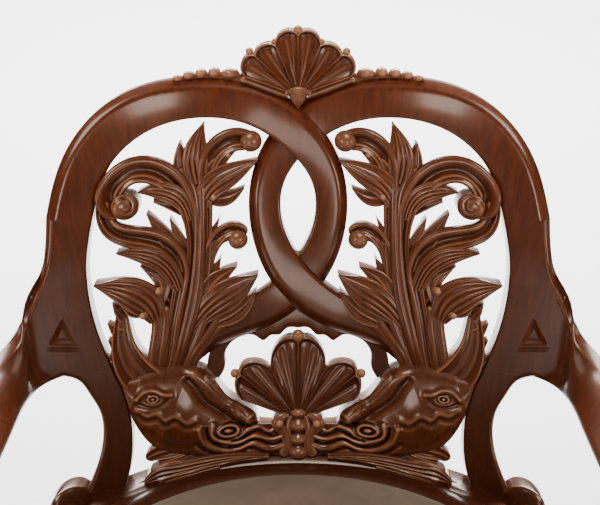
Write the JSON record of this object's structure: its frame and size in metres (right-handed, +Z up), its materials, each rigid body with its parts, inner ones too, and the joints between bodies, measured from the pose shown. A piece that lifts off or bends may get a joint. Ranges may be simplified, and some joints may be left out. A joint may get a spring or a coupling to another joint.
{
  "type": "wooden armchair",
  "caption": "Carved mahogany armchair with an interlaced-arch back of scrolls, dolphins and shells, open swept arms and a lift-out horseshoe seat.",
  "frame": {"origin": "on the floor, under the middle of the bounding box", "axes": "+Z up; the sitter faces -Y; left nodes lie on the -X side"},
  "size_m": [0.6706, 0.6432, 0.9064],
  "materials": {
    "mahogany": "polished, dark in the hollows",
    "beech": "plain, unpolished",
    "seat_cloth": "suede-like nap",
    "stuffing": "felted",
    "webbing": "woven",
    "dust_cloth": "plain weave",
    "steel": "plain"
  },
  "bodies": {
    "frame": {"acanthus_left": "mahogany", "acanthus_right": "mahogany", "arch_left": "mahogany", "arch_right": "mahogany", "arm_left": "mahogany", "arm_right": "mahogany", "arm_support_left": "mahogany", "arm_support_right": "mahogany", "beading_left": "mahogany", "beading_right": "mahogany", "block_screws": "steel", "corner_block_left": "beech", "corner_block_right": "beech", "crest_shell": "mahogany", "cusped_spandrel": "mahogany", "dolphin_left": "mahogany", "dolphin_right": "mahogany", "foot_volute_left": "mahogany", "foot_volute_right": "mahogany", "frame_dowels": "beech", "front_leg_left": "mahogany", "front_leg_right": "mahogany", "leaf_spray_left": "mahogany", "leaf_spray_right": "mahogany", "leg_glides": "steel", "lower_shell": "mahogany", "rear_leg_left": "mahogany", "rear_leg_right": "mahogany", "seat_rail_back": "mahogany", "seat_rail_front": "mahogany", "seat_rail_left": "mahogany", "seat_rail_right": "mahogany", "shell_plinth": "mahogany", "shoe_rail": "mahogany", "upright_left": "mahogany", "upright_right": "mahogany"},
    "slip_seat": {"dust_cover": "dust_cloth", "seat_cover": "seat_cloth", "seat_stuffing": "stuffing", "seat_webbing": "webbing", "slip_rail_back": "beech", "slip_rail_front": "beech", "slip_rail_left": "beech", "slip_rail_right": "beech"}
  },
  "joints": [
    {"name": "seat_lift", "type": "slide", "parent": "frame", "child": "slip_seat", "axis": [0, 0, 1], "range_m": [0, 0.12]}
  ]
}
